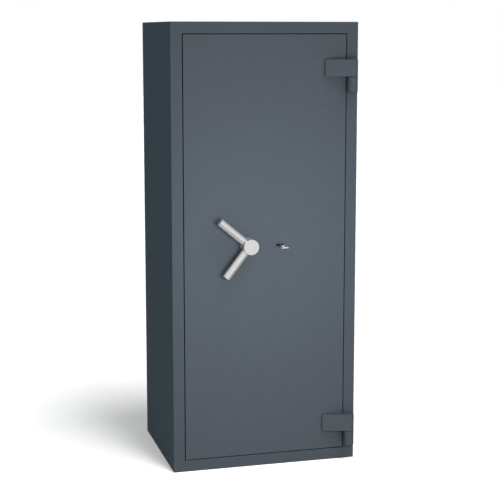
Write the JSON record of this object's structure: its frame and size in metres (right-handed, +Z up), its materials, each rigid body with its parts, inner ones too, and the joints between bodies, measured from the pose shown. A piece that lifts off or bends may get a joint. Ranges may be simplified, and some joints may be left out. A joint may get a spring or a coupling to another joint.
{
  "type": "key-locked floor safe",
  "caption": "Tall steel safe with one hinged door, a turning two-arm handle that throws bolts on three sides, a key lock and inner shelves.",
  "frame": {"origin": "centre of the body's underside, on the floor", "axes": "+Z up, +X to the right as seen from the front, +Y from the door towards the back"},
  "size_m": [0.765, 0.66, 1.8],
  "materials": {
    "body_paint": "satin",
    "door_paint": "satin",
    "liner_paint": "satin",
    "barrier_fill": "matte",
    "seal_rubber": "matte",
    "black_plastic": "matte",
    "black_steel": "satin",
    "zinc": "satin",
    "ground_steel": "satin",
    "brass": "satin",
    "handle_chrome": "satin",
    "key_nickel": "polished"
  },
  "bodies": {
    "body": {"casing": "body_paint", "back_plate": "body_paint", "front_frame": "body_paint", "lip_frame": "body_paint", "front_fill": "barrier_fill", "side_fill": "barrier_fill", "level_fill": "barrier_fill", "back_fill": "barrier_fill", "bolt_channel": "liner_paint", "inner_liner": "liner_paint", "door_seal": "seal_rubber", "anchor_sleeves": "zinc", "shelf_rails": "zinc", "shelf_clips": "zinc", "shelf_1": "liner_paint", "shelf_2": "liner_paint", "shelf_3": "liner_paint", "shelf_4": "liner_paint", "upper_hinge_base": "body_paint", "lower_hinge_base": "body_paint", "hinge_pins": "ground_steel", "hinge_washers": "black_plastic"},
    "door": {"door_plate": "door_paint", "door_pan": "door_paint", "door_fill": "barrier_fill", "hardplate": "ground_steel", "bolt_housing": "door_paint", "rear_cover": "liner_paint", "rear_cover_screws": "zinc", "hinge_side_dogs": "ground_steel", "bolt_guides": "ground_steel", "rack_guides": "brass", "spindle_bush": "brass", "key_guide": "black_plastic", "lock_case": "zinc", "lock_cover": "zinc", "lock_screws": "ground_steel", "upper_hinge_leaf": "door_paint", "lower_hinge_leaf": "door_paint"},
    "handle": {"handle_hub": "handle_chrome", "handle_arm_upper": "handle_chrome", "handle_arm_lower": "handle_chrome", "hub_grub_screw": "black_steel", "handle_spindle": "ground_steel", "spindle_circlip": "zinc", "drive_pinion": "ground_steel"},
    "side_work": {"side_bolt_bar": "zinc", "side_bolts": "ground_steel", "side_rack": "zinc"},
    "top_work": {"top_bolt_bar": "zinc", "top_bolts": "ground_steel", "top_rack": "zinc", "lock_strike": "ground_steel"},
    "bottom_work": {"bottom_bolt_bar": "zinc", "bottom_bolts": "ground_steel", "bottom_rack": "zinc"},
    "curtain": {"key_curtain": "brass"},
    "key": {"key": "key_nickel"},
    "lock_bolt": {"lock_bolt": "ground_steel"},
    "levers": {"lever_pack": "brass"}
  },
  "joints": [
    {"name": "door_swing", "type": "hinge", "parent": "body", "child": "door", "pos_m": [0.353, -0.312, 0.9], "axis": [0, 0, 1], "range_deg": [0, 180]},
    {"name": "handle_turn", "type": "hinge", "parent": "door", "child": "handle", "pos_m": [-0.077, -0.29, 0.92], "axis": [0, -1, 0], "range_deg": [0, 90]},
    {"name": "side_slide", "type": "slide", "parent": "door", "child": "side_work", "axis": [-1, 0, 0], "range_m": [0, 0.0354]},
    {"name": "top_slide", "type": "slide", "parent": "door", "child": "top_work", "axis": [0, 0, 1], "range_m": [0, 0.0354]},
    {"name": "bottom_slide", "type": "slide", "parent": "door", "child": "bottom_work", "axis": [0, 0, -1], "range_m": [0, 0.0354]},
    {"name": "key_turn", "type": "hinge", "parent": "door", "child": "curtain", "pos_m": [0.059, -0.29, 0.914], "axis": [0, 1, 0], "range_deg": [0, 180]},
    {"name": "key_pull", "type": "slide", "parent": "curtain", "child": "key", "axis": [0, -1, 0], "range_m": [0, 0.095]},
    {"name": "lock_bolt_slide", "type": "slide", "parent": "door", "child": "lock_bolt", "axis": [-1, 0, 0], "range_m": [0, 0.0141]},
    {"name": "lever_lift", "type": "hinge", "parent": "door", "child": "levers", "pos_m": [0.092, -0.23, 0.96], "axis": [0, 1, 0], "range_deg": [0, 5.01]}
  ],
  "couplings": [
    {"joint": "side_slide", "follows": "handle_turn", "m_per_rad": 0.0225},
    {"joint": "top_slide", "follows": "handle_turn", "m_per_rad": 0.0225},
    {"joint": "bottom_slide", "follows": "handle_turn", "m_per_rad": 0.0225},
    {"joint": "lock_bolt_slide", "follows": "key_turn", "m_per_rad": 0.0044563},
    {"joint": "lever_lift", "follows": "key_turn", "ratio": 0.027778}
  ]
}
